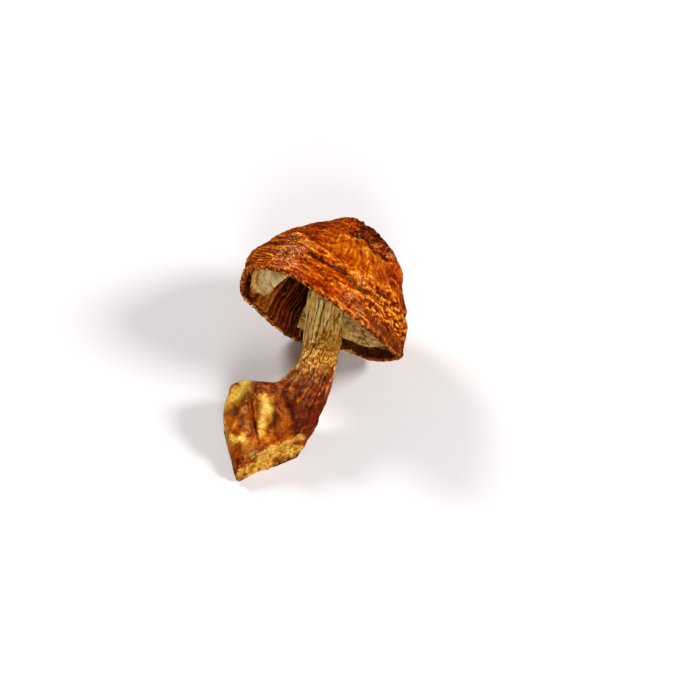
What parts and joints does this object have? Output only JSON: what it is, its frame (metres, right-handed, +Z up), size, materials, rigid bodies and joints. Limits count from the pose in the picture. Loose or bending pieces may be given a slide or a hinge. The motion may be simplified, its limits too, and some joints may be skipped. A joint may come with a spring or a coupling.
{
  "type": "dried mushroom",
  "caption": "Dried almond mushroom lying on its side: a wrinkled domed cap, dark gills and a torn pale veil inside it, and a bent, creased stem with a swollen cut foot.",
  "frame": {"origin": "bottom centre of the part's box, on the table that the mushroom lies on", "axes": "+Z up from the table, +Y level from the foot towards the cap's crown, +X to the right seen from the foot"},
  "size_m": [0.0412, 0.0608, 0.0396],
  "materials": {
    "cap_skin": "dried glossy orange-brown skin, wrinkled",
    "gill_flesh": "dry matt dark brown",
    "veil_skin": "thin dry cream sheet, finely streaked",
    "stem_flesh": "dry fibrous straw to red-brown, satin"
  },
  "bodies": {
    "root": {"cap": "cap_skin", "gills": "gill_flesh", "veil": "veil_skin", "stem": "stem_flesh"}
  },
  "joints": []
}
